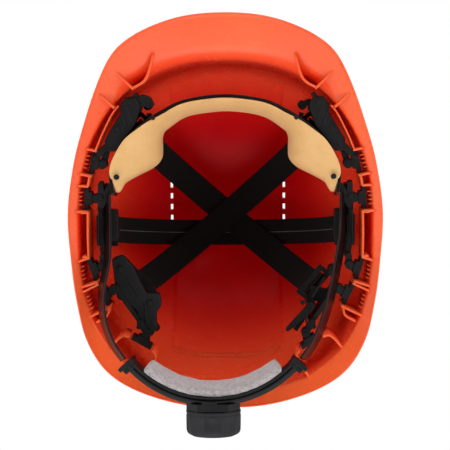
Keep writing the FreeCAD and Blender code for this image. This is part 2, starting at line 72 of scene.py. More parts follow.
# Half sizes of the ellipsoid whose normals the raised crown panel follows
DOME_ROUNDING = (107.0, 122.0, DOME_HEIGHT)
WALL = 2.8
TILT = math.radians(7.1)
SEAT_LIFT = 31.0
BRIM_EDGE = [
    (0, -151.8, -9.5), (24, -150.2, -10), (45, -144.8, -11.8), (65, -135.3, -14),
    (79, -123, -14.5), (90, -102, -12), (100.2, -74, -7.6), (108.2, -46, -5),
    (113.3, -10, -4.5), (111.6, 26, -4.5), (108, 56, -4.5), (101.2, 84.5, -4),
    (87, 107.5, -3.5), (64, 122.5, -3), (32, 132.2, -3), (0, 134.6, -3),
]
PANEL_HALF_WIDTH = 45.0
PANEL_RAISE = 2.6
PANEL_FLOOR = 64.0
VENT_FIRST_Y = -18.0
VENT_PITCH = 8.8
VENT_ROWS = 7
VENT_SIZE = (1.9, 4.4)
RIB = 1.6
RIB_TOP = 24.0
SLOT_Y = 6.5
SLOT_HALF = 16.1
# Hooks between posts: plan point and the direction they face, in degrees
HOOKS = [
    (95.4, -45.2, 12.0), (100.3, -19.4, 3.0), (97.0, 32.6, -18.0), (89.2, 51.5, -26.0),
]
STRAP_WIDTH = 20.0
STRAP_THICK = 1.4
STRAP_FOOT_Z = 25.0
STRAP_RISE = 71.0
STRAP_LAYER = 2.6
STRAP_LEAN = 12.5
STRAP_ARCH_POWER = 0.88
# Spacing of the weave's threads across and along the webbing, in metres
WARP_PITCH = 0.0011
WEFT_PITCH = 0.0016
FRONT_FOOT = (68.0, -68.0)
REAR_FOOT = (65.0, 47.0)
SIDE_FOOT = (86.0, 5.0)

# Headband, leather and cradle, in the standing frame, in millimetres
SWEATBAND = [
    ((0, -90.0, 17), (0, -85.0, 50)), ((28.4, -86.6, 17), (27, -81.5, 50)),
    ((45, -78.6, 17), (42, -72.5, 50)), ((55, -73.6, 17), (46, -66, 49)),
    ((63.6, -67.8, 18), (45.8, -57, 48)), ((71.8, -61.2, 19), (46.5, -49.0, 44)),
    ((77.8, -52.4, 20), (52, -42.5, 42)), ((81.8, -43.6, 21), (63, -36.5, 39)),
    ((82.6, -36.5, 22), (70.6, -32.0, 36)), ((80.4, -30.0, 23), (74.4, -28.0, 33)),
    ((79.2, -24.2, 24), (76.6, -23.6, 31)),
]
HEADBAND = [
    (0, -92.6), (28.4, -88.9), (45, -81.4), (55.6, -74.6), (65.4, -66.6), (73.6, -57.6),
    (79.4, -47.6), (81.8, -37), (81.6, -30), (80.4, -22),
]
HEADBAND_Z = (22.5, 48.0)
ARM_RIGHT = [
    (82.6, -22.5, 34), (82.4, -7, 33), (81.3, 8, 31), (78.3, 25, 28.5), (75.2, 40, 26),
    (71.8, 54, 24), (67.0, 69, 22), (60.8, 83, 20.5), (52.9, 94.3, 20),
]
ARM_LEFT = [
    (-82.6, -22.5, 34), (-82.0, 8, 31), (-82.2, 25, 28.5), (-85.2, 42, 26),
    (-86.0, 55, 24), (-84.0, 69, 22), (-78.5, 83, 20.5), (-70.7, 94.3, 20),
]
CRADLE_X = -8.9
CRADLE_Y = 45.4
CRADLE_R = 82.5
CRADLE_INNER_R = 76.0
CRADLE_HALF = math.radians(49.0)
CRADLE_Z = (6.0, 34.0)
KNOB_Z = 20.5
KNOB_BACK = 150.0
KNOB_SCALLOPS = 10

# The camera's height below the floor and its distance to the right of the helmet's middle, in metres
CAMERA_DROP = 0.985
CAMERA_SIDE = 0.018
CAMERA_LENS = 112.6
# Width in metres that the camera sees at the distance where the helmet lies
VIEW_WIDTH = 0.319
# The picture was taken with the peak turned this far from upright, in degrees
CAMERA_ROLL = 0.25
FLOOR_REACH = 4.0
# World light from straight below, from below at a slant and from the horizon
LIGHT_BELOW = 0.08
LIGHT_LOW = 2.15
LIGHT_LEVEL = 1.05
LIGHT_ABOVE = 0.45


# ---- Camera, light and stage ----
def make_stage():
    scene = bpy.context.scene
    scene.view_settings.view_transform = "Standard"
    scene.view_settings.look = "None"
    world = bpy.data.worlds.new("studio")
    scene.world = world
    light_from_horizon(world)

    camera_data = bpy.data.cameras.new("camera")
    camera_data.lens = CAMERA_LENS
    camera_data.sensor_width = 36.0
    camera_data.clip_end = 20.0
    camera = bpy.data.objects.new("camera", camera_data)
    scene.collection.objects.link(camera)
    camera.location = (CAMERA_SIDE, 0.0, -CAMERA_DROP)
    camera_data.shift_x = -CAMERA_SIDE / VIEW_WIDTH
    # looks straight up into the shell, with the peak at the top of the picture
    camera.rotation_euler = (math.pi, 0.0, math.radians(CAMERA_ROLL))
    scene.camera = camera

    add_area("key", (-0.45, -0.35, 1.1), (0, 0, 0.06), 0.7, 4.0)
    add_area("fill_below", (0.25, -0.30, -0.95), (0, 0, 0.05), 0.25, 0.35)
    add_area("rear_below", (0.0, 0.80, -0.62), (0, -0.05, 0.05), 0.9, 2.4)

    floor_mesh = bpy.data.meshes.new("floor")
    corners = ((-1, -1), (1, -1), (1, 1), (-1, 1))
    floor_mesh.from_pydata([(x * FLOOR_REACH, y * FLOOR_REACH, 0) for x, y in corners], [], [(0, 1, 2, 3)])
    floor = bpy.data.objects.new("floor", floor_mesh)
    scene.collection.objects.link(floor)
    floor.location.z = CAD_BOX[0][2] - 0.0005
    floor.data.materials.append(floor_material())
    for kind in ("diffuse", "glossy", "transmission", "shadow"):
        setattr(floor, "visible_" + kind, False)


def light_from_horizon(world):
    """White straight overhead, bright at a slant from below and dim from straight below."""
    sky = Shader(world, "ShaderNodeOutputWorld")
    split = sky.node("ShaderNodeSeparateXYZ")
    sky.put(split.inputs[0], sky.coords("Generated"))
    share = sky.node("ShaderNodeMapRange", Value=split.outputs["Z"], From_Min=-1.0)
    ramp = sky.node("ShaderNodeValToRGB", Fac=share.outputs["Result"])
    stops = ((0.0, LIGHT_BELOW), (0.07, LIGHT_BELOW), (0.17, LIGHT_LOW), (0.45, LIGHT_LEVEL),
             (0.60, LIGHT_LEVEL), (0.70, LIGHT_ABOVE), (0.965, LIGHT_ABOVE), (0.98, 1.0))
    while len(ramp.color_ramp.elements) < len(stops):
        ramp.color_ramp.elements.new(0.5)
    for element, (position, value) in zip(ramp.color_ramp.elements, stops):
        element.position = position
        element.color = (value, value, value, 1)
    light = sky.node("ShaderNodeBackground", Color=(1.0, 1.0, 1.0), Strength=ramp.outputs["Color"])
    sky.put(sky.surface, light.outputs[0])


def add_area(name, place, target, size, power):
    data = bpy.data.lights.new(name, "AREA")
    data.shape = "DISK"
    data.size = size
    data.energy = power
    lamp = bpy.data.objects.new(name, data)
    bpy.context.scene.collection.objects.link(lamp)
    lamp.location = place
    aim = Vector(target) - Vector(place)
    lamp.rotation_euler = aim.to_track_quat("-Z", "Y").to_euler()


def floor_material():
    """Pale floor that shows from above only, so the shell can be seen from below."""
    mat = Shader(bpy.data.materials.new("studio_floor"))
    paint = mat.node("ShaderNodeBsdfDiffuse", Color=(0.86, 0.86, 0.85))
    clear = mat.node("ShaderNodeBsdfTransparent")
    side = mat.node("ShaderNodeNewGeometry")
    mix = mat.node("ShaderNodeMixShader", Fac=side.outputs["Backfacing"])
    mat.put(mix.inputs[1], paint.outputs[0])
    mat.put(mix.inputs[2], clear.outputs[0])
    mat.put(mat.surface, mix.outputs[0])
    return mat.owner


# ---- Materials ----
class Shader:
    """Builds the nodes of a material or world; a value is a number, a colour or a node's output."""

    def __init__(self, owner, output="ShaderNodeOutputMaterial"):
        owner.use_nodes = True
        self.owner = owner
        self.tree = owner.node_tree
        self.tree.nodes.clear()
        self.surface = self.tree.nodes.new(output).inputs["Surface"]

    def put(self, socket, value):
        if isinstance(value, bpy.types.NodeSocket):
            self.tree.links.new(value, socket)
        elif socket.type == "RGBA":
            socket.default_value = (*value, 1)
        else:
            socket.default_value = value

    def node(self, kind, **values):
        made = self.tree.nodes.new(kind)
        for key, value in values.items():
            name = key.replace("_", " ")
            if name in made.inputs:
                self.put(made.inputs[name], value)
            else:
                setattr(made, key, value)
        return made

    def principled(self, **values):
        self.put(self.surface, self.node("ShaderNodeBsdfPrincipled", **values).outputs[0])
        return self.owner

    def coords(self, kind="Object"):
        return self.node("ShaderNodeTexCoord").outputs[kind]

    def noise(self, source, scale, detail=4.0, rough=0.55):
        made = self.node("ShaderNodeTexNoise", Vector=source, Scale=scale, Detail=detail, Roughness=rough)
        return made.outputs["Fac"]

    def ramp(self, source, low, high, start=0.35, end=0.65):
        """Maps a 0 to 1 value onto two colours."""
        made = self.node("ShaderNodeValToRGB", Fac=source)
        for stop, position, colour in zip(made.color_ramp.elements, (start, end), (low, high)):
            stop.position = position
            stop.color = (*colour, 1)
        return made.outputs["Color"]

    def span(self, source, low, high):
        """Maps a 0 to 1 value onto a range of numbers."""
        return self.node("ShaderNodeMapRange", Value=source, To_Min=low, To_Max=high).outputs["Result"]

    def math(self, operation, first, second=None, clamp=False):
        made = self.node("ShaderNodeMath", operation=operation, use_clamp=clamp)
        self.put(made.inputs[0], first)
        if second is not None:
            self.put(made.inputs[1], second)
        return made.outputs[0]

    def bump(self, height, strength, distance, **below):
        made = self.node("ShaderNodeBump", Height=height, Strength=strength, Distance=distance, **below)
        return made.outputs["Normal"]

    def mix(self, factor, first, second, blend="MIX"):
        """Mixes two colours by a factor."""
        made = self.node("ShaderNodeMix", data_type="RGBA", blend_type=blend)
        for slot, value in ((0, factor), (6, first), (7, second)):
            self.put(made.inputs[slot], value)
        return made.outputs[2]


def shell_plastic():
    """Moulded safety orange: faint flow marks, orange peel, fine rubs, with painted bounce light that turns
    the inner walls a brighter red and painted shade that turns the crown a dark red.
    """
    mat = Shader(bpy.data.materials.new("shell_plastic"))
    place = mat.coords()
    broad = mat.noise(place, 14.0, 3.0)
    peel = mat.noise(place, 260.0, 3.0)
    fine = mat.noise(place, 1500.0, 2.0)
    rub = mat.noise(place, 60.0, 8.0, 0.75)
    # The first colour is the orange's own; the second is painted bounce light, a brighter, redder orange for
    # the inner walls; the third is painted shade, a dark red for the crown's cavity.
    rim = mat.ramp(broad, (0.80, 0.098, 0.022), (0.83, 0.116, 0.029))
    wall = mat.ramp(broad, (0.98, 0.080, 0.028), (1.0, 0.094, 0.034))
    painted_cavity_shade = mat.ramp(broad, (0.70, 0.0015, 0.006), (0.73, 0.003, 0.009))
    # The depth attribute carries painted shade: 0 on the brim and outside, up to 1 in the crown; the
    # highlight also weakens with it.
    inside = mat.node("ShaderNodeAttribute", attribute_name="depth").outputs["Fac"]
    painted_bounce_tint = mat.mix(mat.math("MULTIPLY", inside, 6.0), rim, wall)
    return mat.principled(
        Base_Color=mat.mix(inside, painted_bounce_tint, painted_cavity_shade), IOR=1.49, Specular_IOR_Level=mat.span(inside, 0.30, 0.05),
        Roughness=mat.span(rub, 0.24, 0.30), Subsurface_Weight=0.3, Subsurface_Scale=0.006,
        Subsurface_Radius=(1.0, 0.10, 0.04),
        Normal=mat.bump(fine, 0.06, 0.0001, Normal=mat.bump(peel, 0.10, 0.0004)))


def moulded_black(name, colour, low_rough, high_rough, grain):
    """Black moulding with spark-eroded grain, dusty streaks and softly worn patches."""
    mat = Shader(bpy.data.materials.new(name))
    place = mat.coords()
    spots = mat.noise(place, 1800.0 * grain, 2.0, 0.6)
    wear = mat.noise(place, 90.0, 6.0, 0.7)
    lighter = tuple(c * 1.7 + 0.002 for c in colour)
    return mat.principled(
        Base_Color=mat.ramp(wear, colour, lighter, 0.45, 0.75), IOR=1.45, Specular_IOR_Level=0.32,
        Roughness=mat.span(wear, low_rough, high_rough), Normal=mat.bump(spots, 0.25, 0.0002))


def webbing_material():
    """Black flat-woven polyester; the weave follows the strap's own length and width, and painted shade
    darkens the grooves between its threads.
    """
    mat = Shader(bpy.data.materials.new("webbing"))
    split = mat.node("ShaderNodeSeparateXYZ")
    mat.put(split.inputs[0], mat.coords("UV"))
    warp = mat.math("SINE", mat.math("MULTIPLY", split.outputs[0], 2 * math.pi / WARP_PITCH))
    weft = mat.math("SINE", mat.math("MULTIPLY", split.outputs[1], 2 * math.pi / WEFT_PITCH))
    cross = mat.math("MULTIPLY", warp, weft)
    height = mat.math("ADD", mat.math("MULTIPLY", cross, 0.5), mat.math("MULTIPLY", warp, 0.25))
    fuzz = mat.noise(mat.coords(), 900.0, 4.0, 0.7)
    height = mat.math("ADD", height, mat.math("MULTIPLY", fuzz, 0.8))
    # Painted shade: the colour darkens where the weave's surface dips, with random fuzz mixed in.
    painted_groove_shade = mat.math("ADD", mat.math("MULTIPLY", height, 0.35), 0.4, True)
    return mat.principled(
        Base_Color=mat.ramp(painted_groove_shade, (0.0018, 0.0018, 0.0018), (0.0058, 0.0056, 0.0056), 0.1, 0.9),
        Roughness=0.9, Specular_IOR_Level=0.2, Sheen_Weight=0.04, Sheen_Roughness=0.4,
        Normal=mat.bump(height, 0.55, 0.00035))


def thread_material(name, colour):
    mat = Shader(bpy.data.materials.new(name))
    twist = mat.noise(mat.coords(), 2400.0, 2.0)
    darker = tuple(c * 0.6 for c in colour)
    return mat.principled(Base_Color=mat.ramp(twist, darker, colour, 0.3, 0.7), Roughness=0.75,
                          Sheen_Weight=0.2, Normal=mat.bump(twist, 0.5, 0.0002))


def leather_material():
    """Tan split leather: pebbled grain, pores, soft mottling."""
    mat = Shader(bpy.data.materials.new("leather"))
    place = mat.coords()
    cells = mat.node("ShaderNodeTexVoronoi", feature="DISTANCE_TO_EDGE", Vector=place, Scale=1100.0)
    mottle = mat.noise(place, 75.0, 5.0, 0.6)
    pores = mat.noise(place, 1700.0, 3.0, 0.6)
    tone = mat.ramp(mottle, (0.65, 0.365, 0.130), (0.74, 0.445, 0.175), 0.25, 0.8)
    speck = mat.ramp(pores, (0.86, 0.82, 0.78), (1.0, 1.0, 1.0), 0.30, 0.52)
    pebbles = mat.bump(cells.outputs["Distance"], 0.30, 0.0004)
    return mat.principled(
        Base_Color=mat.mix(1.0, tone, speck, "MULTIPLY"), Roughness=mat.span(mottle, 0.52, 0.68), IOR=1.45,
        Sheen_Weight=0.15, Sheen_Roughness=0.5, Normal=mat.bump(pores, 0.25, 0.0002, Normal=pebbles))


def felt_material():
    """Grey needled fleece, speckled with lighter and darker fibres."""
    mat = Shader(bpy.data.materials.new("felt"))
    place = mat.coords()
    clumps = mat.noise(place, 420.0, 5.0, 0.7)
    fibres = mat.noise(place, 2300.0, 3.0, 0.7)
    both = mat.math("ADD", mat.math("MULTIPLY", clumps, 0.5), mat.math("MULTIPLY", fibres, 0.5))
    return mat.principled(
        Base_Color=mat.ramp(both, (0.15, 0.125, 0.13), (0.54, 0.47, 0.475), 0.36, 0.62), Roughness=0.95,
        Sheen_Weight=0.6, Sheen_Roughness=0.6, Normal=mat.bump(both, 0.9, 0.0009))


def screw_steel():
    mat = Shader(bpy.data.materials.new("screw_steel"))
    lines = mat.noise(mat.coords(), 900.0, 4.0)
    return mat.principled(Base_Color=mat.ramp(lines, (0.45, 0.45, 0.46), (0.62, 0.62, 0.63)), Metallic=1.0,
                          Roughness=mat.span(lines, 0.25, 0.45), Normal=mat.bump(lines, 0.1, 0.0001))


# ---- Mesh helpers ----
def seat(points):
    """From the shell's frame to the standing frame, millimetres to metres."""
    p = np.asarray(points, float)
    out = p.copy()
    out[..., 1] = p[..., 1] * math.cos(TILT) - p[..., 2] * math.sin(TILT)
    out[..., 2] = p[..., 1] * math.sin(TILT) + p[..., 2] * math.cos(TILT) + SEAT_LIFT
    return out * MM


def walked(line):
    """Distance along a line from its start to each of its points."""
    return np.concatenate([[0], np.cumsum(np.linalg.norm(np.diff(line, axis=0), axis=1))])


def resample(line, length, wanted):
    """Points of a line at the wanted distances along it."""
    return np.stack([np.interp(wanted, length, line[:, k]) for k in range(line.shape[1])], 1)


def plan_sides(path):
    """Unit vectors square to a path, seen from above."""
    run = np.gradient(path[:, :2], axis=0)
    run /= np.linalg.norm(run, axis=1, keepdims=True)
    return np.stack([-run[:, 1], run[:, 0]], 1)


def smooth_path(points, count, closed=False):
    """Catmull-Rom through the points, resampled evenly along its length."""
    p = np.asarray(points, float)
    if closed:
        p = np.concatenate([p[-1:], p, p[:2]])
    else:
        p = np.concatenate([[2 * p[0] - p[1]], p, [2 * p[-1] - p[-2]]])
    dense = []
    for a, b, c, d in zip(p, p[1:], p[2:], p[3:]):
        for t in np.linspace(0, 1, 24, endpoint=False):
            dense.append(0.5 * (2 * b + (c - a) * t + (2 * a - 5 * b + 4 * c - d) * t ** 2
                                + (3 * b - a - 3 * c + d) * t ** 3))
    dense.append(p[-2])
    dense = np.array(dense)
    length = walked(dense)
    out = resample(dense, length, np.linspace(0, length[-1], count + 1 if closed else count))
    return out[:-1] if closed else out


def smoothstep(low, high, value):
    t = np.clip((value - low) / (high - low), 0, 1)
    return t * t * (3 - 2 * t)


def grid_faces(rows, columns):
    """Faces between rows of points, each row closed on itself."""
    faces = []
    for i in range(rows - 1):
        a, b = i * columns, (i + 1) * columns
        for j in range(columns):
            k = (j + 1) % columns
            faces.append((a + j, a + k, b + k, b + j))
    return faces


def add_object(name, mesh, material, body, replaces=()):
    """An object for a mesh; it rides on a CAD body, if one is named."""
    obj = bpy.data.objects.new(name, mesh)
    bpy.context.scene.collection.objects.link(obj)
    obj.data.materials.append(material)
    if body:
        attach(obj, body)
    if replaces:
        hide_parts(*replaces)
    return obj


def prism(work, lower, upper):
    """Adds the solid between two matching outlines to a bmesh."""
    lower, upper = ([work.verts.new(tuple(p)) for p in outline] for outline in (lower, upper))
    work.faces.new(lower)
    work.faces.new(upper[::-1])
    for k in range(len(lower)):
        n = (k + 1) % len(lower)
        work.faces.new((lower[k], upper[k], upper[n], lower[n]))


def moulding(name, work, material, body, width, segments, replaces=()):
    """A black moulded piece with softened edges, from a bmesh."""
    mesh = bpy.data.meshes.new(name)
    work.to_mesh(mesh)
    work.free()
    obj = add_object(name, mesh, material, body, replaces)
    bevel(obj, width, segments)


def clean(mesh, weld=False):
    """Turns every face outwards, after joining doubled points if asked to."""
    work = bmesh.new()
    work.from_mesh(mesh)
    if weld:
        bmesh.ops.remove_doubles(work, verts=work.verts, dist=1e-6)
    bmesh.ops.recalc_face_normals(work, faces=work.faces)
    work.to_mesh(mesh)
    work.free()


def piece(name, points, faces, body, material, replaces=(), uvs=None):
    """A smooth mesh object from points and faces."""
    mesh = bpy.data.meshes.new(name)
    mesh.from_pydata([tuple(p) for p in np.asarray(points).reshape(-1, 3)], [], faces)
    if uvs is not None:
        layer = mesh.uv_layers.new(name="UVMap")
        flat = np.asarray(uvs).reshape(-1, 2)
        index = np.empty(len(mesh.loops), np.int32)
        mesh.loops.foreach_get("vertex_index", index)
        layer.data.foreach_set("uv", flat[index].ravel().astype(np.float32))
    mesh.polygons.foreach_set("use_smooth", [True] * len(mesh.polygons))
    clean(mesh)
    return add_object(name, mesh, material, body, replaces)


def tube_sheet(sections):
    """Points and faces of closed sections joined end to end, with both ends capped."""
    rows, around = sections.shape[:2]
    faces = grid_faces(rows, around)
    faces.append(tuple(range(around - 1, -1, -1)))
    faces.append(tuple((rows - 1) * around + i for i in range(around)))
    return sections.reshape(-1, 3), faces


def add_tube(points, faces, sections):
    """Adds one tube, given in the shell's frame, to a mesh's points and faces."""
    more, sides = tube_sheet(seat(np.array(sections)))
    first = len(points)
    points.extend(more)
    faces.extend(tuple(first + i for i in face) for face in sides)


def circle(centre, across, up, radius, count):
    return [centre + radius * (across * math.cos(a) + up * math.sin(a))
            for a in np.linspace(0, 2 * math.pi, count, endpoint=False)]


def rounded_rectangle(width, thick, radius, corner=4, side=1):
    """Outline of a rounded rectangle, side extra points along each long side."""
    w, t = width / 2 - radius, thick / 2 - radius
    outline = []
    for cx, cy, start in ((w, t, 0), (-w, t, 90), (-w, -t, 180), (w, -t, 270)):
        for k in range(corner + 1):
            angle = math.radians(start + 90 * k / corner)
            outline.append((cx + radius * math.cos(angle), cy + radius * math.sin(angle)))
        if start in (0, 180):
            sign = 1 if start == 0 else -1
            for k in range(1, side + 1):
                outline.append((sign * (w - 2 * w * k / (side + 1)), cy + sign * radius))
    return np.array(outline)


def swell(obj, voxel, cap, keep_out):
    """Fills a pad out with a short cloth simulation; points beyond keep_out from the axis stay."""
    even = obj.modifiers.new("even", "REMESH")
    even.mode = "VOXEL"
    even.voxel_size = voxel
    apply_modifiers(obj)
    rest = np.array([v.co for v in obj.data.vertices])
    radius = np.hypot(rest[:, 0] - CRADLE_X * MM, rest[:, 1] - CRADLE_Y * MM)
    held = obj.vertex_groups.new(name="held")
    held.add([int(i) for i in np.nonzero(radius > keep_out)[0]], 1.0, "REPLACE")
    cloth = obj.modifiers.new("swell", "CLOTH")
    cloth.settings.vertex_group_mass = "held"
    cloth.settings.use_pressure = True
    cloth.settings.uniform_pressure_force = 4.0
    cloth.settings.effector_weights.gravity = 0.0
    cloth.point_cache.frame_start = 1
    cloth.point_cache.frame_end = 20
    for frame_number in range(1, 21):
        bpy.context.scene.frame_set(frame_number)
    apply_modifiers(obj)
    moved = np.array([v.co for v in obj.data.vertices])
    shift = moved - rest
    reach = np.linalg.norm(shift, axis=1, keepdims=True)
    shift *= np.minimum(1, cap / np.maximum(reach, 1e-9))
    obj.data.vertices.foreach_set("co", (rest + shift).astype(np.float32).ravel())
    obj.vertex_groups.clear()
    obj.data.polygons.foreach_set("use_smooth", [True] * len(obj.data.polygons))
    bpy.context.scene.frame_set(1)


def bevel(obj, width, segments=2):
    modifier = obj.modifiers.new("edges", "BEVEL")
    modifier.width = width
    modifier.segments = segments
    modifier.limit_method = "ANGLE"
    modifier.angle_limit = math.radians(35)


# ---- Shell ----
def dome_radius(theta, offset):
    """Radius of the dome's foot in each direction; theta is 0 ahead, at the peak."""
    across, ahead = np.abs(np.sin(theta)), -np.cos(theta)
    rear = ahead > 0
    reach = np.where(rear, DOME_REAR, DOME_FRONT) + offset
    power = np.where(rear, REAR_POWER, FRONT_POWER)
    half = DOME_HALF_WIDTH + offset
    return ((across / half) ** power + (np.abs(ahead) / reach) ** power) ** (-1 / power)


def dome_points(theta, rise, offset, inset):
    """Points of one side of the shell; rise runs from 0 at the foot to 1 at the crown."""
    turn = rise * math.pi / 2
    rho = np.cos(turn) ** (2 / CROWN_POWER)
    height = np.sin(turn) ** (2 / CROWN_POWER) * (DOME_HEIGHT + offset)
    radius = dome_radius(theta, offset) * rho
    point = np.stack([radius * np.sin(theta), -radius * np.cos(theta), height + 0 * radius], -1)
    half = PANEL_HALF_WIDTH - inset
    side = 1 - smoothstep(half - 1.2, half + 1.2, np.abs(point[..., 0]))
    first = smoothstep(PANEL_FLOOR + inset - 6.2, PANEL_FLOOR + inset - 4.2, point[..., 2])
    second = smoothstep(PANEL_FLOOR + inset, PANEL_FLOOR + inset + 2.0, point[..., 2])
    raised = side * (0.45 * first + 0.55 * second) * PANEL_RAISE
    normal = point / np.square(DOME_ROUNDING)
    normal /= np.linalg.norm(normal, axis=-1, keepdims=True) + 1e-9
    return point + normal * raised[..., None]


def bezier(a, b, c, count):
    t = np.linspace(0, 1, count)[:, None, None]
    return a * (1 - t) ** 2 + 2 * b * t * (1 - t) + c * t ** 2


def shell_surface(columns, rows):
    """Rows of points from the crown inside, down, round the brim and up to the crown outside."""
    left = [(-x, y, z) for x, y, z in BRIM_EDGE[1:-1]]
    edge = smooth_path(BRIM_EDGE + left[::-1], columns, closed=True)
    theta = np.arctan2(edge[:, 0], -edge[:, 1])
    direction = np.stack([np.sin(theta), -np.cos(theta), 0 * theta], 1)
    edge_r = np.hypot(edge[:, 0], edge[:, 1])
    edge_z = edge[:, 2]
    inner_r, outer_r = dome_radius(theta, -WALL), dome_radius(theta, 0)

    def at(radius, z):
        return direction * radius[:, None] + np.stack([0 * theta, 0 * theta, z], 1)

    def under(radius):
        share = np.clip((radius - inner_r) / (edge_r - inner_r), 0, 1)
        return edge_z * share ** 0.92

    rises = np.linspace(1.0, 0.055, rows)
    inside = np.array([dome_points(theta, rise, -WALL, WALL) for rise in rises])
    outside = np.array([dome_points(theta, rise, 0.0, 0.0) for rise in rises])[::-1]
    room = edge_r - inner_r
    ahead = 1 - smoothstep(math.radians(34), math.radians(44), np.abs(theta))
    start = inner_r + np.minimum(1.6 + 7.4 * ahead, room * 0.45)
    corner = bezier(inside[-1], at(inner_r, under(inner_r) + 0.3), at(start, under(start)), 10)
    steps = np.linspace(0.12, 1, 14)
    lip = edge_r - 1.5
    brim = np.array([at(start + (lip - start) * s, under(start + (lip - start) * s)) for s in steps])
    turns = np.linspace(-80, 80, 7)
    rim = np.array([at(lip + 1.5 * math.cos(math.radians(a)),
                       edge_z + 1.45 + 1.5 * math.sin(math.radians(a))) for a in turns])
    top_start = outer_r + np.minimum(7.0, (edge_r - outer_r) * 0.6)
    top = np.array([at(lip + (top_start - lip) * s, under(lip + (top_start - lip) * s) + 2.9)
                    for s in np.linspace(0.05, 1, 12)])
    outer_corner = bezier(top[-1], at(outer_r, under(outer_r) + 2.9), outside[0], 10)
    return np.concatenate([inside, corner[1:], brim, rim, top, outer_corner[1:-1], outside])


def make_shell(material):
    columns = 400
    rows = 110
    points = shell_surface(columns, rows)
    depth = np.zeros(points.shape[:2])
    # Painted shade for the inside rows: a little on the walls, more at the front than the rear, rising to
    # full up in the crown, then fading out over the corner rows into the brim.
    painted_wall_shade = 0.20 - 0.10 * smoothstep(40, 95, points[:rows, :, 1])
    depth[:rows] = painted_wall_shade + (1 - painted_wall_shade) * smoothstep(66.0, 118.0, points[:rows, :, 2])
    depth[rows:rows + 9] = np.linspace(1, 0, 9)[:, None] ** 0.7 * depth[rows - 1]
    body = piece("shell_moulding", seat(points), grid_faces(len(points), columns),
                 "helmet", material, ["shell"])
    paint_shade_depth(body, depth)
    clean(body.data, weld=True)
    cut_vents(body)


def paint_shade_depth(obj, values):
    """Stores painted shade for each point, 0 to 1, as the depth attribute; the shell's finish darkens and
    reddens the colour by it.
    """
    layer = obj.data.attributes.new("depth", "FLOAT", "POINT")
    layer.data.foreach_set("value", np.asarray(values, np.float32).ravel())


def cut_vents(body):
    """Two rows of small slots in the crown panel's side steps."""
    cutter_mesh = bpy.data.meshes.new("vent_cutter")
    work = bmesh.new()
    for row in range(VENT_ROWS):
        for side in (-1, 1):
            made = bmesh.ops.create_cube(work, size=1.0)["verts"]
            centre = Vector((side * PANEL_HALF_WIDTH, VENT_FIRST_Y + row * VENT_PITCH, 118))
            for vert in made:
                local = Vector((vert.co.x * VENT_SIZE[0], vert.co.y * VENT_SIZE[1], vert.co.z * 40))
                vert.co = seat(np.array(local + centre))
    work.to_mesh(cutter_mesh)
    work.free()
    cutter = bpy.data.objects.new("vent_cutter", cutter_mesh)
    bpy.context.scene.collection.objects.link(cutter)
    modifier = body.modifiers.new("vents", "BOOLEAN")
    modifier.operation = "DIFFERENCE"
    modifier.solver = "EXACT"
    modifier.object = cutter
    apply_modifiers(body)
    bpy.data.objects.remove(cutter)


def apply_modifiers(obj):
    graph = bpy.context.evaluated_depsgraph_get()
    mesh = bpy.data.meshes.new_from_object(obj.evaluated_get(graph))
    obj.modifiers.clear()
    obj.data = mesh


def wall_sections(path, thick, low, high, radius=0.7):
    """Sections of an upright wall in the shell's frame, rounded along its lower edge."""
    half = thick / 2
    arc = [(half * math.cos(a), -radius * math.sin(a)) for a in np.linspace(0, math.pi, 7)]
    outline = [(half, high - low - radius)] + arc + [(-half, high - low - radius)]
    sections = []
    for p, s in zip(path, plan_sides(path)):
        top = min(high, rib_ceiling(p))
        sections.append([(p[0] + s[0] * w, p[1] + s[1] * w, min(low + radius + z, top))
                         for w, z in outline])
    return np.array(sections)


def rib_ceiling(spot):
    """Highest that a rib may reach at a plan point: inside the wall it is free, under the brim not."""
    theta = math.atan2(abs(spot[0]), -spot[1])
    radius = math.hypot(*spot[:2])
    wall = float(dome_radius(np.array(theta), -WALL * 0.6))
    if radius < wall - 3.0:
        return RIB_TOP
    edge = np.array(BRIM_EDGE, float)
    turn = np.arctan2(edge[:, 0], -edge[:, 1])
    reach = np.interp(theta, turn, np.hypot(edge[:, 0], edge[:, 1]))
    foot = float(dome_radius(np.array(theta), -WALL))
    share = np.clip((radius - foot) / (reach - foot), 0, 1)
    under = np.interp(theta, turn, edge[:, 2]) * share + 1.2
    blend_in = np.clip((radius - (wall - 3.0)) / 3.0, 0, 1)
    return RIB_TOP * (1 - blend_in) + under * blend_in


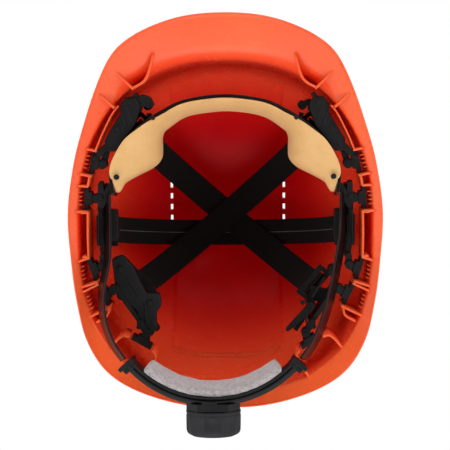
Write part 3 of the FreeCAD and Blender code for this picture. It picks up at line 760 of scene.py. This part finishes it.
def rib_paths():
    """Right-hand ribs in the shell's frame: path, lowest height, thickness."""
    low = -3.5
    slot_x = DOME_HALF_WIDTH - WALL - 6.0 - RIB / 2
    front, rear = SLOT_Y - SLOT_HALF, SLOT_Y + SLOT_HALF
    paths = [(path, low, RIB) for path in (
        [(97.2, -36.5), (98.2, -31.0), (98.6, -28.6)],
        [(slot_x, front - 0.8), (slot_x + 0.3, SLOT_Y), (slot_x, rear + 0.8)],
        [(slot_x, front), (103.8, front)],
        [(slot_x, rear), (103.2, rear)],
        [(93.6, 41.2), (93.0, 43.0)],
        [(85.2, 60.5), (86.5, 66.0), (94.0, 70.5)],
        [(70.5, 81.8), (74.5, 80.6), (79.0, 83.6), (84.0, 89.5)],
        [(54.0, 91.6), (51.6, 95.0), (52.6, 100.0), (60.5, 112.0)])]
    paths += [
        ([(50, -122), (54.2, -108), (58.5, -102.5), (64.6, -99.2)], -9.5, 1.8),
        ([(64.4, -98.0), (77.0, -110.5)], -9.5, RIB),
        ([(78.2, -84.8), (90.5, -96.5)], -9.0, RIB),
        ([(75.9, -86.2), (80.1, -80.9), (84.7, -72.3), (88.8, -63.7), (92.6, -54.6)], low, 1.2),
    ]
    for x, y, degrees in HOOKS:
        angle = math.radians(degrees)
        along = np.array([math.sin(angle), math.cos(angle)])
        out = np.array([along[1], -along[0]])
        centre = np.array([x, y])
        for end in (-1, 1):
            post = centre + along * (end * 9.3)
            paths.append(([post - out * 1.6, post + out * reach_wall(post, out)], low, RIB))
        for tooth in (-4.5, -1.5, 1.5, 4.5):
            tip = centre + along * tooth + out * reach_wall(centre + along * tooth, out)
            paths.append(([tip - out * 3.4, tip], 0.5, 0.8))
    return paths


def make_panel_highlight_lines(material):
    """Two fine raised lines across the rear wall, where the crown panel ends; painted highlights, as they
    carry none of the wall's painted shade and so show in the light brim orange.
    """
    points, faces = [], []
    for height, half in ((60.5, 45.0), (66.5, 41.0)):
        rise = math.asin((height / DOME_HEIGHT) ** (CROWN_POWER / 2)) / (math.pi / 2)
        spread = math.asin(half / DOME_REAR)
        rows = []
        for theta in np.linspace(math.pi - spread, math.pi + spread, 60):
            lift = 5.0 * (abs(theta - math.pi) / spread) ** 6 / 90
            turn = np.array([theta])
            centre = dome_points(turn, rise + lift, -WALL + 0.1, WALL)[0]
            out = np.array([math.sin(theta), -math.cos(theta), 0])
            up = np.array([0, 0, 1.0])
            rows.append(circle(centre, out, up, 0.45, 8))
        add_tube(points, faces, rows)
    # No depth attribute here: the lines keep the light orange as painted highlights against the shaded wall.
    piece("panel_highlight_lines", points, faces, "helmet", material)


def reach_wall(start, out):
    """Distance along out from a plan point to just inside the shell's wall."""
    for step in np.arange(0.5, 30, 0.5):
        spot = start + out * step
        theta = math.atan2(spot[0], -spot[1])
        if math.hypot(*spot) > float(dome_radius(np.array(theta), -WALL / 2)):
            return step
    return 30.0


def make_ribs(material):
    points, faces = [], []
    for path, low, thick in rib_paths():
        line = smooth_path(path, 14) if len(path) > 2 else np.linspace(path[0], path[-1], 6)
        for mirror in (1, -1):
            sections = wall_sections(line, thick, low, RIB_TOP)
            sections[..., 0] *= mirror
            add_tube(points, faces, sections)
    ribs = piece("shell_ribs", points, faces, "helmet", material)
    # Painted shade on the ribs: their upper parts take up to four tenths of the shell's inside shading.
    paint_shade_depth(ribs, smoothstep(0.040, 0.075, np.array(points)[:, 2]) * 0.4)
    ribs.modifiers.new("edges", "EDGE_SPLIT").split_angle = math.radians(50)


# Bracket bodies and lugs in the shell's frame: outline, lowest height, highest height.
# These four are alike on both sides, given for the right
SHARED_PLATES = [
    ([(71.0, -92.0), (63.8, -92.4), (60.6, -85.4), (64.3, -72.6), (72.0, -62.8), (79.0, -53.4),
      (84.6, -53.4), (86.6, -61.2), (81.6, -69.8), (75.0, -80.6), (74.4, -87.6)], 2.0, 13.0),
    ([(81.0, -62.0), (84.6, -54.4), (93.4, -46.4), (95.0, -50.2), (87.6, -58.0)], 2.5, 11.0),
    ([(92.0, -30.0), (88.2, -31.0), (87.6, -24.4), (84.8, -29.6), (82.2, -28.0), (84.0, -20.0),
      (88.4, -12.0), (92.4, -14.0)], 4.0, 12.0),
    ([(90.5, -8.6), (80.0, -8.6), (79.4, 13.8), (90.5, 14.2)], 20.0, 30.0),
]
LEFT_LOBE = ([(-64.2, -92.2), (-58.5, -94.0), (-53.2, -91.8), (-50.6, -86.4), (-54.6, -83.8),
              (-57.6, -85.8), (-62.0, -84.6)], 4.0, 12.0)
LEFT_REAR = ([(-83.3, 26.2), (-75.3, 23.4), (-68.2, 31.4), (-58.5, 51.4), (-48.9, 51.4), (-47.6, 60.6),
              (-51.2, 66.0), (-51.2, 76.8), (-54.6, 83.4), (-62.4, 78.6), (-65.6, 64.4), (-74.4, 57.4),
              (-80.0, 55.0)], 9.0, 17.0)
RIGHT_REAR = ([(62.0, 58.0), (66.0, 60.5), (62.5, 66.0), (57.0, 71.5), (45.0, 80.5), (43.5, 78.5),
               (54.0, 67.0)], 9.0, 14.0)


def make_plate(name, outline, low, high, material, body="helmet", seated=True):
    """A moulded plate with softly rounded edges, from its outline seen from below."""
    work = bmesh.new()
    ring = smooth_path([(x, y, low) for x, y in outline], 6 * len(outline), closed=True)
    mixed = 0.2 * ring + 0.8 * densify(outline, low, 6)
    spots = seat(mixed) if seated else mixed * MM
    prism(work, spots, spots + seat(np.array([0, 0, high - low])) - seat(np.zeros(3)))
    bmesh.ops.recalc_face_normals(work, faces=work.faces)
    moulding(name, work, material, body, 0.0006, 3)


def densify(outline, height, share):
    """Points along the straight sides of an outline, evenly spaced round it."""
    ring = np.array([(x, y, height) for x, y in outline] + [(*outline[0], height)], float)
    length = walked(ring)
    return resample(ring, length, np.linspace(0, length[-1], share * len(outline), endpoint=False))


# Pegs and bars moulded on the brackets, right side, in the shell's frame
PEGS = [
    (67.5, -89.0, 1.2, 6, 1.9), (77.0, -70.0, 0.8, 6, 1.5), (82.5, -58.6, 1.4, 7, 2.2),
    (94.0, -48.6, 0.6, 8, 1.6), (90.0, -20.0, 2.6, 9, 1.7), (77.5, 33.5, 6.5, 12, 2.0),
    (56.0, 58.5, 6.8, 12, 1.8), (88.0, 46.0, 2.0, 9, 1.7), (64.5, 76.5, 6.8, 12, 1.6),
]
BAR_HEIGHT = 3
BARS = [
    ((70.0, -86.0), (66.5, -75.0), 1.4, 1.3), ((75.0, -84.0), (70.5, -71.5), 1.0, 1.2),
    ((79.0, -67.0), (84.0, -59.0), 1.4, 1.2), ((91.4, -10.0), (91.8, 14.0), 1.6, 1.2),
    ((72.0, 40.0), (63.0, 55.0), 8.2, 1.3), ((60.0, 58.0), (58.5, 74.0), 8.2, 1.2),
]


def add_peg(work, centre, radius, height, sides):
    """An upright peg about a centre given in metres."""
    made = bmesh.ops.create_cone(work, cap_ends=True, segments=sides, radius1=radius * MM,
                                 radius2=radius * MM, depth=height * MM)["verts"]
    bmesh.ops.translate(work, verts=made, vec=Vector(centre))


def make_bracket_details(material):
    work = bmesh.new()
    for mirror in (-1, 1):
        for x, y, low, high, radius in PEGS:
            add_peg(work, seat(np.array([x * mirror, y, (low + high) / 2])), radius, high - low, 14)
        for start, end, low, width in BARS:
            a, b = Vector((*start, low)), Vector((*end, low))
            along = (b - a).normalized()
            side = Vector((-along.y, along.x, 0)) * (width / 2)
            corners = [a - side, a + side, b + side, b - side]
            prism(work, *(seat(np.array([(c.x * mirror, c.y, z) for c in corners]))
                          for z in (low, low + BAR_HEIGHT)))
    bmesh.ops.recalc_face_normals(work, faces=work.faces)
    moulding("bracket_details", work, material, "helmet", 0.0005, 2)


def make_plates(material):
    left = [([(-x, y) for x, y in outline], low, high) for outline, low, high in SHARED_PLATES]
    left.insert(1, LEFT_LOBE)
    left.insert(3, LEFT_REAR)
    for side, plates in (("left", left), ("right", SHARED_PLATES + [RIGHT_REAR])):
        for number, (outline, low, high) in enumerate(plates):
            make_plate("bracket_body_%s_%d" % (side, number), outline, low, high, material)
    latch = [(-16.6, 124.6), (-6.2, 124.6), (-6.2, 127.6), (-16.6, 127.6)]
    make_plate("gear_latch", latch, 0.2, 3.0, material, "cradle", seated=False)


def make_studs(material):
    """Studs that hold the leather to the headband."""
    places = []
    for side in (-1, 1):
        places.append((side * 77.6, -34.6, 18.6, 2.1, 8.5))
        places.append((side * 51.0, -76.4, 13.6, 1.7, 6.0))
    work = bmesh.new()
    for x, y, z, radius, height in places:
        add_peg(work, Vector((x, y, z + height / 2)) * MM, radius, height, 7)
    moulding("leather_studs", work, material, "helmet", 0.0004, 2, ["sweatband_studs"])


# ---- Webbing ----
def strap_line(start, end, layer, count):
    """Centre line, level direction across and normal of one strap, in the shell's frame."""
    a, b = np.array([*start, 0.0]), np.array([*end, 0.0])
    along = (b - a) / np.linalg.norm(b - a)
    level = np.array([-along[1], along[0], 0])
    rise = STRAP_RISE + layer * STRAP_LAYER
    turn = np.linspace(0, math.pi, 400)
    reach = (1 - np.cos(turn)) / 2
    height = STRAP_FOOT_Z + rise * np.sin(turn) ** STRAP_ARCH_POWER
    lean = STRAP_LEAN * (height - STRAP_FOOT_Z) / STRAP_RISE
    line = a + (b - a) * reach[:, None] + np.stack([0 * turn, lean, height], 1)
    length = walked(line)
    line = resample(line, length, np.linspace(0, length[-1], count))
    tangent = np.gradient(line, axis=0)
    tangent /= np.linalg.norm(tangent, axis=1, keepdims=True)
    normal = np.cross(tangent, level)
    return line, level, normal, length[-1]


def make_strap(node, start, end, layer, material):
    count = 140
    line, level, normal, length = strap_line(start, end, layer, count)
    outline = rounded_rectangle(STRAP_WIDTH, STRAP_THICK, 0.55, 4, 14)
    sections = np.empty((count, len(outline), 3))
    uvs = np.empty((count, len(outline), 2))
    for i in range(count):
        wave = 0.18 * noise.noise(Vector((i * 0.06, layer * 7.0, 0)))
        for j, (w, t) in enumerate(outline):
            cup = 0.35 * (2 * w / STRAP_WIDTH) ** 2 + wave
            sections[i, j] = line[i] + level * w + normal[i] * (t + cup)
            uvs[i, j] = (w * MM, i / (count - 1) * length * MM)
    points, faces = tube_sheet(seat(sections))
    strap = piece(node + "_webbing", points, faces, "helmet", material, [node], uvs)


def stitch_row(name, line, normal, level, offset, lift, pitch, length, radius, material):
    """A row of short thread stitches along a line."""
    total = walked(line)
    points, faces = [], []
    for start in np.arange(pitch, total[-1] - pitch, pitch):
        rows = []
        for share in np.linspace(0, 1, 6):
            at = start + share * length
            centre = np.array([np.interp(at, total, line[:, c]) for c in range(3)])
            out = np.array([np.interp(at, total, normal[:, c]) for c in range(3)])
            rise = lift + radius * 0.9 * math.sin(math.pi * share) - radius * 0.45
            middle = centre + level * offset + out * rise
            size = radius * (0.45 + 0.55 * math.sin(math.pi * (0.15 + 0.7 * share)))
            rows.append(circle(middle, level, out, size, 6))
        add_tube(points, faces, rows)
    piece(name, points, faces, "helmet", material)


# ---- Headband and leather ----
def both_sides(half):
    flipped = [tuple(np.multiply(p, (-1,) + (1,) * (len(p) - 1))) for p in half[:0:-1]]
    return flipped + list(half)


def make_sweatband(material):
    low_rows, high_rows = (np.array(both_sides([row[k] for row in SWEATBAND]), float) for k in (0, 1))
    low = smooth_path(low_rows, 150)
    reach = walked(low_rows)
    dense = smooth_path(np.column_stack([reach, high_rows]), 400)
    high = resample(dense[:, 1:], dense[:, 0], np.linspace(0, reach[-1], len(low)))
    run = np.gradient(low, axis=0)
    up = high - low
    normal = np.cross(run, up)
    normal /= np.linalg.norm(normal, axis=1, keepdims=True)
    outline = rounded_rectangle(2.0, 1.0, 0.45, 5, 12)
    sections = np.empty((len(low), len(outline), 3))
    for i in range(len(low)):
        height = np.linalg.norm(up[i])
        for j, (u, v) in enumerate(outline):
            share = 0.5 + u / 2
            swell = 1 - abs(u) ** 3
            thick = 1.1 + 1.5 * swell
            wing = float(smoothstep(48, 62, abs(low[i][0])))
            bow = -(1.2 + 2.6 * wing) * math.sin(math.pi * share ** 1.3) * min(1, height / 24)
            ripple = 0.35 * noise.noise(Vector((low[i][0] * 0.05, low[i][1] * 0.05, share * 1.5)))
            sections[i, j] = low[i] + up[i] * share + normal[i] * (v * thick * 2 + bow + ripple)
    end = np.abs(np.linspace(-1, 1, len(low))) ** 40
    middle = sections.mean(axis=1, keepdims=True)
    sections = middle + (sections - middle) * (1 - 0.55 * end[:, None, None])
    points, faces = tube_sheet(sections * MM)
    band = piece("sweatband_leather", points, faces, "helmet", material, ["sweatband"])


def strip_sections(path, height, thick, lean, radius=0.5):
    """Sections of a thin upright strip; lean moves its top edge sideways."""
    outline = rounded_rectangle(height, thick, radius, 3, 4)
    sections = []
    for p, s in zip(path, plan_sides(path)):
        row = []
        for u, v in outline:
            shift = v + lean * (u / height + 0.5)
            row.append((p[0] + s[0] * shift, p[1] + s[1] * shift, p[2] + u))
        sections.append(row)
    return np.array(sections)


def make_headband(material):
    middle = sum(HEADBAND_Z) / 2
    path = smooth_path([(x, y, middle) for x, y in both_sides(HEADBAND)], 160)
    points, faces = tube_sheet(strip_sections(path, HEADBAND_Z[1] - HEADBAND_Z[0], 2.6, 0) * MM)
    piece("headband_strip", points, faces, "helmet", material, ["headband"])


def make_arm(side, path, material):
    """A flexible headband arm, from the headband's end to the cradle's mouth."""
    line = smooth_path(path, 90)
    lean = -6.0 * side
    points, faces = tube_sheet(strip_sections(line, 20.0, 1.6, lean) * MM)
    name = "right" if side > 0 else "left"
    arm = piece("headband_arm_%s_strip" % name, points, faces, None, material,
                ["headband_arm_" + name])
    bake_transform(arm)


# ---- Nape cradle, pad and knob ----
def arc_sections(outline, half_angle, count):
    """Sweeps an outline of (radius, height) pairs about the cradle's axis."""
    sections = []
    for angle in np.linspace(-half_angle, half_angle, count):
        sections.append([(CRADLE_X + r * math.sin(angle), CRADLE_Y + r * math.cos(angle), z)
                         for r, z in outline])
    return np.array(sections)


def make_cradle(material):
    z0, z1 = CRADLE_Z
    r0, r1 = CRADLE_INNER_R, CRADLE_R
    outline = [
        (r0, z1 - 1), (r0, z0 + 1.2), (r0 + 0.4, z0 + 0.3), (r0 + 1.3, z0), (r0 + 1.9, z0 + 0.1),
        (r0 + 2.2, z0 + 1.4), (r0 + 2.6, z0 + 1.5), (r0 + 2.9, z0 + 0.2), (r0 + 3.3, z0 - 0.5),
        (r0 + 3.9, z0 - 0.7), (r0 + 4.5, z0 - 0.5), (r0 + 4.9, z0 + 0.2), (r0 + 5.1, z0 + 1.0),
        (r1 - 0.9, z0 + 1.1), (r1 - 0.2, z0 + 1.6), (r1, z0 + 2.4), (r1, 17.6), (r1 + 0.5, 18),
        (r1 + 1.2, 18.8), (r1 + 1.2, 22.2), (r1 + 0.5, 23), (r1, 23.4), (r1, z1 - 1.2),
        (r1 - 0.4, z1 - 0.3), (r1 - 1.2, z1), (r0 + 1.0, z1), (r0 + 0.3, z1 - 0.3),
    ]
    points, faces = tube_sheet(arc_sections(outline, CRADLE_HALF, 90) * MM)
    cradle = piece("cradle_arc", points, faces, "cradle", material,
                   ["nape_cradle", "nape_cover_left", "nape_cover_right"])
    cradle.modifiers.new("edges", "EDGE_SPLIT").split_angle = math.radians(60)


def make_caps(material):
    """Flared cradle ends with a raised lip."""
    for side, name in ((-1, "left"), (1, "right")):
        work = bmesh.new()
        angle = side * CRADLE_HALF
        out = Vector((math.sin(angle), math.cos(angle), 0))
        flat = Vector((out.y, -out.x, 0))
        centre = Vector((CRADLE_X, CRADLE_Y, 0))
        for low_r, high_r, back, ahead, z0, z1 in (
                (CRADLE_INNER_R - 1.0, CRADLE_R + 5.0, -1.4, 1.6, 5.2, 34.6),
                (CRADLE_INNER_R - 0.4, CRADLE_R + 3.0, -5.0, 1.0, 6.0, 33.8)):
            verts = bmesh.ops.create_cube(work, size=1.0)["verts"]
            for vert in verts:
                radius = low_r if vert.co.x < 0 else high_r
                tangent = back if vert.co.y < 0 else ahead
                level = z0 if vert.co.z < 0 else z1
                vert.co = (centre + out * radius + flat * tangent * side) * MM
                vert.co.z = level * MM
        moulding("cradle_cap_" + name, work, material, "cradle", 0.0007, 3)


def make_pad(material):
    """Felt pad that bulges off the cradle's inner face."""
    outer = CRADLE_INNER_R - 0.15
    outline = [(outer, 32.6), (outer, 5.4)]
    for k in range(15):
        share = k / 14
        z = 5.0 + 28.0 * share
        inner = outer - 5.2 - 4.2 * share - 0.9 * math.sin(math.pi * share)
        pull = 1.6 * (1 - min(1, share * 9)) + 1.6 * (1 - min(1, (1 - share) * 9))
        outline.append((inner + pull, z))
    count = 150
    half = math.radians(41)
    sections = arc_sections(outline, half, count)
    for i in range(count):
        edge = abs(2 * i / (count - 1) - 1)
        squeeze = max(0, (edge - 0.97) / 0.03)
        for j in range(len(outline)):
            p = sections[i, j]
            fuzz = noise.noise(Vector(p * 0.55)) * 0.35 + noise.noise(Vector(p * 1.7)) * 0.22
            radial = p[:2] - np.array([CRADLE_X, CRADLE_Y])
            radial /= np.linalg.norm(radial)
            inward = 1.0 if j > 1 else 0.0
            p[:2] -= radial * inward * (fuzz - 1.2 * squeeze)
            p[2] += fuzz * 0.4
    points, faces = tube_sheet(sections * MM)
    pad = piece("nape_pad_felt", points, faces, "cradle", material, ["nape_pad"])
    swell(pad, 0.0022, 0.0009, (CRADLE_INNER_R - 1.5) * MM)
    pad.modifiers.new("soft", "SUBSURF").render_levels = 1


def make_knob(material):
    """Scalloped knob with a rounded rear edge and a shallow dished back."""
    profile = [
        (0.0, 1.6), (6.5, 1.6), (7.5, 1.5), (8.0, 0.3), (8.4, 0.05), (12.0, 0.0), (15.0, 0.1),
        (16.6, 0.6), (18.0, 1.5), (18.9, 2.7), (19.3, 4.2), (19.4, 6.5), (19.45, 10.0),
        (19.5, 14.2), (19.5, 15.0), (19.2, 15.6), (19.2, 16.2), (19.5, 16.8), (19.5, 18.2),
        (19.1, 18.7), (16.2, 18.8), (16.0, 18.0), (16.0, 6.0), (6.0, 5.6), (6.0, 13.0), (0.0, 13.0),
    ]
    around = 160
    points = []
    for radius, depth in profile:
        flute = smoothstep(14.0, 18.8, radius) * (1 - smoothstep(12.5, 14.6, depth))
        for k in range(around):
            angle = 2 * math.pi * k / around
            wave = 0.5 - 0.5 * math.cos(KNOB_SCALLOPS * angle)
            r = radius - 1.5 * float(flute) * (1 - wave ** 1.2) if radius > 10 else radius
            points.append((CRADLE_X + r * math.sin(angle), KNOB_BACK - depth, KNOB_Z + r * math.cos(angle)))
    faces = grid_faces(len(profile), around)
    knob = piece("knob_grip", np.array(points) * MM, faces, "knob", material,
                 ["adjuster_knob"])
    clean(knob.data, weld=True)
    knob.modifiers.new("edges", "EDGE_SPLIT").split_angle = math.radians(50)


# ---- Assembly ----
def finish_nodes(finishes):
    """Gives every CAD node that still shows its finish and softened edges."""
    for name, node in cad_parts.items():
        if node.hide_render:
            continue
        material, width = finishes.get(name, finishes[""])
        node.data.materials.clear()
        node.data.materials.append(material)
        if width:
            bevel(node, width)


def build():
    make_stage()
    orange = shell_plastic()
    black = moulded_black("black_plastic", (0.0042, 0.0040, 0.0042), 0.40, 0.60, 1.0)
    band = moulded_black("band_plastic", (0.0060, 0.0022, 0.0022), 0.26, 0.42, 0.5)
    knob_black = moulded_black("knob_plastic", (0.0085, 0.0085, 0.0105), 0.5, 0.66, 1.4)
    web = webbing_material()
    grey_thread = thread_material("grey_thread", (0.32, 0.30, 0.30))
    leather = leather_material()
    make_shell(orange)
    make_ribs(orange)
    make_panel_highlight_lines(orange)
    fx, fy = FRONT_FOOT
    rx, ry = REAR_FOOT
    sx, sy = SIDE_FOOT
    make_strap("crown_strap_lower", (fx, fy), (-rx, ry), 0, web)
    make_strap("crown_strap_upper", (-fx, fy), (rx, ry), 1, web)
    make_strap("crown_strap_cross", (-sx, sy), (sx, sy), 2, web)
    line, level, normal, _ = strap_line((-sx, sy), (sx, sy), 2, 200)
    side = -1 if normal[100][2] > 0 else 1
    stitch_row("cross_strap_stitches", line, normal * side, level, 0.0, STRAP_THICK / 2 - 0.1,
               2.6, 1.6, 0.28, grey_thread)
    make_sweatband(leather)
    make_headband(band)
    make_arm(1, ARM_RIGHT, band)
    make_arm(-1, ARM_LEFT, band)
    make_cradle(black)
    make_caps(black)
    make_plates(black)
    make_bracket_details(black)
    make_studs(black)
    make_pad(felt_material())
    make_knob(knob_black)
    finish_nodes({
        "": (black, 0.0004), "pinion": (black, 0), "rack_left": (black, 0), "rack_right": (black, 0),
        "ratchet_ring": (black, 0), "ratchet_spring": (black, 0), "knob_screw": (screw_steel(), 0),
    })


build()
bpy.context.view_layer.update()
